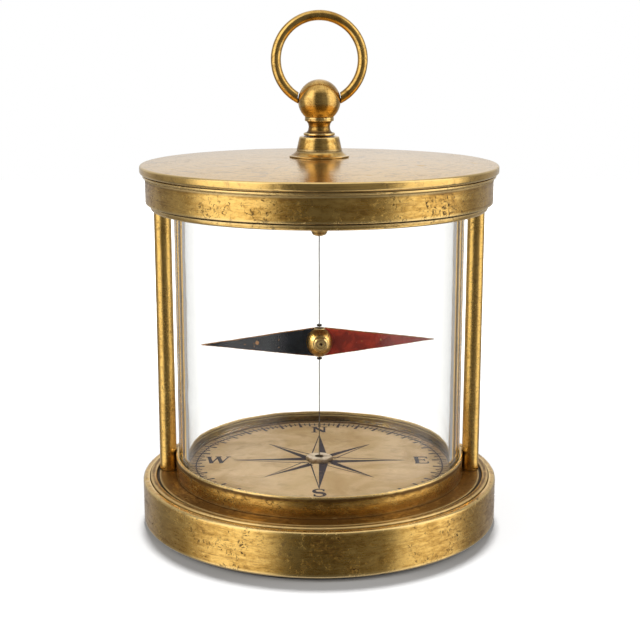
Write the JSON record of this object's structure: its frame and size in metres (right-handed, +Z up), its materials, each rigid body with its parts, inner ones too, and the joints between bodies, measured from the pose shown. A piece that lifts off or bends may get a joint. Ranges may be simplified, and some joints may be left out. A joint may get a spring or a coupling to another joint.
{
  "type": "suspended-needle compass",
  "caption": "Antique brass and glass compass: a painted needle hangs on a taut thread over a printed compass card, in a glass cylinder between posts, with a swivel finial and bow.",
  "frame": {"origin": "centre of the underside of the felt pad, on the vertical axis of the case", "axes": "+Z up along the thread; -Y towards the south mark of the card, which is the front; the two posts stand on the X axis"},
  "size_m": [0.1024, 0.1024, 0.145],
  "materials": {
    "antique_brass": "aged lacquered brass, brushed along the turning, with dark patina",
    "hub_brass": "polished brass darkened in the grooves",
    "pale_nut": "worn nickel silver",
    "blued_steel_screws": "blued steel",
    "clear_glass": "clear, slightly wavy",
    "parchment_card": "aged printed card, mottled",
    "cork_gasket": "matt",
    "green_felt": "dark felt",
    "silk_thread": "twisted silk",
    "needle_black": "worn black enamel",
    "needle_red": "worn red enamel"
  },
  "bodies": {
    "case": {"bottom_plate": "antique_brass", "base_drum": "antique_brass", "base_deck": "antique_brass", "left_post": "antique_brass", "right_post": "antique_brass", "dial_bezel": "antique_brass", "dial_spacer": "antique_brass", "dial_plate": "antique_brass", "cap_ring": "antique_brass", "bridge_plate": "antique_brass", "lid": "antique_brass", "finial_socket": "antique_brass", "suspension_stem": "antique_brass", "suspension_chuck": "antique_brass", "stem_nut": "antique_brass", "anchor_stud": "antique_brass", "lock_nut": "antique_brass", "lower_post_nuts": "antique_brass", "upper_post_nuts": "antique_brass", "bottom_screws": "blued_steel_screws", "deck_screws": "blued_steel_screws", "bezel_screws": "blued_steel_screws", "bridge_screws": "blued_steel_screws", "felt_pad": "green_felt", "compass_card": "parchment_card", "lower_gasket": "cork_gasket", "upper_gasket": "cork_gasket", "glass_cylinder": "clear_glass", "suspension_thread": "silk_thread", "upper_stop_bead": "antique_brass", "lower_stop_bead": "antique_brass", "anchor_nut": "pale_nut"},
    "finial": {"swivel_finial": "antique_brass", "shank_nut": "antique_brass"},
    "bow": {"bow_ring": "antique_brass"},
    "needle": {"needle_hub": "hub_brass", "black_arm": "needle_black", "red_arm": "needle_red", "front_clamp_screw": "hub_brass", "rear_clamp_screw": "hub_brass"}
  },
  "joints": [
    {"name": "finial_swivel", "type": "hinge", "parent": "case", "child": "finial", "pos_m": [0, 0, 0.111], "axis": [0, 0, 1], "continuous": true},
    {"name": "bow_hinge", "type": "hinge", "parent": "finial", "child": "bow", "pos_m": [0, 0, 0.12047], "axis": [1, 0, 0], "range_deg": [-126, 126]},
    {"name": "needle_turn", "type": "hinge", "parent": "case", "child": "needle", "pos_m": [0, 0, 0.0522], "axis": [0, 0, 1], "continuous": true}
  ]
}
